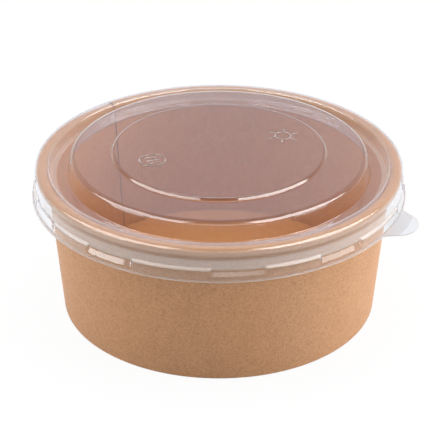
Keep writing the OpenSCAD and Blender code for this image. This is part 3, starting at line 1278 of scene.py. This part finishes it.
@dataclass
class Studio:
    """The plain white studio: floor, sky, lamps and the camera at the photograph's angle.

    Its distances are in metres, apart from centre_z and distance. The pairs that end in from are
    the values of a direction or place between which a change runs.
    """

    centre_z: float
    elevation: float = 26.878
    distance: float = 750.0
    aim_right: float = 0.158
    aim_down: float = 2.036
    roll: float = 0.167
    focal_px: float = 1653.96
    frame_px: int = 447
    sensor: float = 36.0
    floor_half: float = 3.0
    floor_drop: float = 0.0002
    floor_seen: float = 0.92
    floor_bounce: float = 0.4
    light_front: float = 0.13
    light_back: float = 1.6
    floor_behind: float = 0.85
    floor_near: float = 0.95
    behind_from: Point = (0.05, 0.15)
    near_ring: tuple[float, float, float] = (0.1, 0.2, 0.006)
    light_from: Point = (-0.75, 0.1)
    low_from: Point = (0.3, 0.9)
    back_from: Point = (0.0, 0.6)
    high_from: Point = (0.26, 0.4)
    floor_white: Colour = (0.85, 0.85, 0.86, 1.0)
    mirror_dark: Colour = (0.04, 0.04, 0.04, 1.0)
    mirror_back: Colour = (0.32, 0.36, 0.54, 1.0)
    mirror_low: Colour = (0.85, 0.86, 0.9, 1.0)
    panels: tuple[Panel, ...] = (
        Panel(-108.0, -26.0, 16.0, 62.0, 8.0),
        Panel(26.0, 108.0, 16.0, 62.0, 11.0),
        Panel(-24.0, 24.0, 12.0, 34.0, 2.6),
        Panel(-84.0, -56.0, -3.0, 10.0, 7.0, 1.0),
        Panel(56.0, 84.0, -3.0, 10.0, 5.0, 1.0))
    lamps: tuple[Lamp, ...] = (
        Lamp("box_left", -70.0, 42.0, 1.0, 1.4, 0.9, 0.3),
        Lamp("box_right", 72.0, 42.0, 1.0, 1.4, 0.9, 0.2),
        Lamp("box_front", 0.0, 55.0, 1.0, 0.7, 0.6, 1.2),
        Lamp("strip_left", -85.0, 12.0, 1.0, 1.0, 0.35, 1.4),
        Lamp("strip_right", 85.0, 12.0, 1.0, 1.0, 0.35, 4.7))

    def camera(self) -> None:
        """Places the camera."""
        centre = Vector((0.0, 0.0, self.centre_z)) * MM
        rise = math.radians(self.elevation)
        back = Vector((0.0, -math.cos(rise), math.sin(rise)))
        right = Vector((1.0, 0.0, 0.0))
        up = right.cross(-back)
        ahead = (-back + math.tan(math.radians(self.aim_right)) * right
                 - math.tan(math.radians(self.aim_down)) * up).normalized()
        right = ahead.cross(Vector((0.0, 0.0, 1.0))).normalized()
        up = right.cross(ahead)
        roll = math.radians(self.roll)
        turned_right = right * math.cos(roll) + up * math.sin(roll)
        turned_up = up * math.cos(roll) - right * math.sin(roll)
        camera = bpy.data.objects.new("camera", bpy.data.cameras.new("camera"))
        camera.data.sensor_width = self.sensor
        camera.data.lens = self.sensor * self.focal_px / self.frame_px
        camera.data.clip_start = 0.01
        camera.matrix_world = Matrix.Translation(centre + back * self.distance * MM) @ Matrix(
            (turned_right, turned_up, -ahead)).transposed().to_4x4()
        bpy.context.scene.collection.objects.link(camera)
        bpy.context.scene.camera = camera

    def floor(self) -> None:
        """Lays the white floor, which keeps a soft shadow of the bowl."""
        half, low = self.floor_half, -self.floor_drop
        mesh = bpy.data.meshes.new("studio_floor")
        mesh.from_pydata([(-half, -half, low), (half, -half, low), (half, half, low), (-half, half, low)],
                         [], [(0, 1, 2, 3)])
        floor = bpy.data.objects.new("studio_floor", mesh)
        bpy.context.scene.collection.objects.link(floor)
        paint = bpy.data.materials.new("white_floor")
        paint.use_nodes = True
        tree = paint.node_tree
        tree.nodes.clear()
        maker = TreeMaker(tree)
        path = maker.add("ShaderNodeLightPath").outputs
        bounce = (self.floor_bounce, self.floor_bounce, self.floor_bounce, 1.0)
        tone = maker.mix(path["Is Diffuse Ray"], self.floor_white, bounce)
        tone = maker.mix(path["Is Glossy Ray"], tone, self.mirror_dark)
        matt = maker.first("ShaderNodeBsdfDiffuse", {"Color": tone})
        glow = maker.first("ShaderNodeEmission", {"Color": WHITE})
        direct = maker.math("MAXIMUM", path["Is Camera Ray"], path["Is Transmission Ray"])
        where = maker.add("ShaderNodeTexCoord").outputs["Object"]
        along = maker.split(where)[1]
        reach = maker.length(where)
        behind = maker.times(maker.ramp(along, *self.behind_from), self.floor_behind)
        near = maker.times(maker.inside(reach, *self.near_ring), self.floor_near)
        mirrored = maker.times(maker.math("MAXIMUM", behind, near), path["Is Glossy Ray"])
        seen = maker.math("MULTIPLY_ADD", direct, self.floor_seen, mirrored)
        surface = maker.first("ShaderNodeMixShader", {0: seen, 1: matt, 2: glow})
        maker.add("ShaderNodeOutputMaterial", {"Surface": surface})
        mesh.materials.append(paint)

    def sky(self) -> None:
        """Sets the world: white where it is seen, soft light where it lights."""
        world = bpy.data.worlds.new("studio_sky")
        bpy.context.scene.world = world
        world.use_nodes = True
        world.node_tree.nodes.clear()
        maker = TreeMaker(world.node_tree)
        path = maker.add("ShaderNodeLightPath").outputs
        way = maker.split(maker.add("ShaderNodeTexCoord").outputs["Generated"])
        turn = maker.math("ARCTAN2", way[0], maker.times(way[1], -1.0))
        rise = maker.math("ARCSINE", way[2])
        height = maker.ramp(way[2], *self.high_from)
        low = maker.mix(maker.ramp(way[1], *self.low_from), self.mirror_dark, self.mirror_low)
        high = maker.mix(maker.ramp(way[1], *self.back_from), self.mirror_dark, self.mirror_back)
        mirrored = maker.mix(height, low, high)
        for panel in self.panels:
            glow = panel.strength(maker, turn, rise)
            mirrored = maker.mix(1.0, mirrored, maker.grey(glow), "ADD")
        level = maker.ramp(way[1], *self.light_from, to=(self.light_front, self.light_back))
        colour = maker.mix(path["Is Glossy Ray"], maker.grey(level), mirrored)
        white = maker.math("MAXIMUM", path["Is Camera Ray"], path["Is Transmission Ray"])
        colour = maker.mix(white, colour, WHITE)
        background = maker.first("ShaderNodeBackground", {"Color": colour})
        maker.add("ShaderNodeOutputWorld", {"Surface": background})

    def build(self) -> None:
        """Builds the whole studio."""
        self.camera()
        self.floor()
        self.sky()
        for lamp in self.lamps:
            lamp.build(Vector((0.0, 0.0, self.centre_z / 2)) * MM)
        bpy.context.scene.view_settings.view_transform = "Standard"


def kraft_finishes() -> tuple[Dress, Dress]:
    """Builds the board's materials.

    Returns:
        The side wall's materials and the floor's, each by face.
    """
    grain = paper_grain_group()
    outside = BoardFinish("kraft_outside", linear(213, 162, 120), linear(191, 140, 100)).material(grain)
    inside = BoardFinish("kraft_inside_coated", linear(207, 149, 95), linear(185, 127, 75),
                         roughness=0.5, coat=0.15, sheen=0.05).material(grain)
    bottom = BoardFinish("kraft_bottom_coated", linear(226, 160, 94), linear(206, 140, 78),
                         roughness=0.5, coat=0.15, sheen=0.05).material(grain)
    # Dark brown of the cut edges: partly the raw board's own colour, partly painted shade that darkens the
    # seam's line
    raw_and_shaded_edge = BoardFinish("kraft_cut_edge", linear(140, 112, 84), linear(112, 88, 64),
                      roughness=0.9, relief=0.03).material(grain)
    wall = {Side.LEFT: inside, Side.RIGHT: outside, Side.CUT: raw_and_shaded_edge}
    floor = {Side.LEFT: bottom, Side.RIGHT: outside, Side.CUT: raw_and_shaded_edge}
    return wall, floor


def report(pieces: Sequence[Piece]) -> None:
    """Logs each piece's triangles and size."""
    for piece in pieces:
        mesh = piece.data
        mesh.calc_loop_triangles()
        size = " x ".join(f"{side / MM:.1f}" for side in piece.dimensions)
        LOG.info("%s: %d triangles, %s mm", piece.name, len(mesh.loop_triangles), size)


def main() -> None:
    """Builds the bowl, its lid and the studio."""
    logging.basicConfig(level=logging.INFO, format="%(message)s")
    wall_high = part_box("side_wall")[1]
    rim_r, rim_z = wall_high.x / MM, wall_high.z / MM
    wall, floor = kraft_finishes()
    bowl = Bowl(rim_r, rim_z)
    pieces = bowl.build(wall, floor)
    clear = ClearFinish("clear_sheet", linear(247, 248, 252), rim=(rim_r, rim_z), **SHEET_RINGS).material()
    # The cut edge's milky haze is partly its rough cut and partly a painted highlight that keeps the lip's
    # edge light
    edge = ClearFinish("clear_cut_edge", linear(252, 252, 254), roughness=0.35, haze_and_highlight_share=0.55).material()
    # The ridges' milky haze is a painted highlight that lightens the raised marks
    ridge = ClearFinish("clear_ridges", linear(250, 250, 252), roughness=0.2, haze_and_highlight_share=0.14).material()
    pieces.append(Lid(rim_r, rim_z).build(clear, edge, ridge))
    Studio(bowl.roll_middle.y).build()
    bpy.context.view_layer.update()
    report(pieces)


if __name__ == "__main__":
    main()
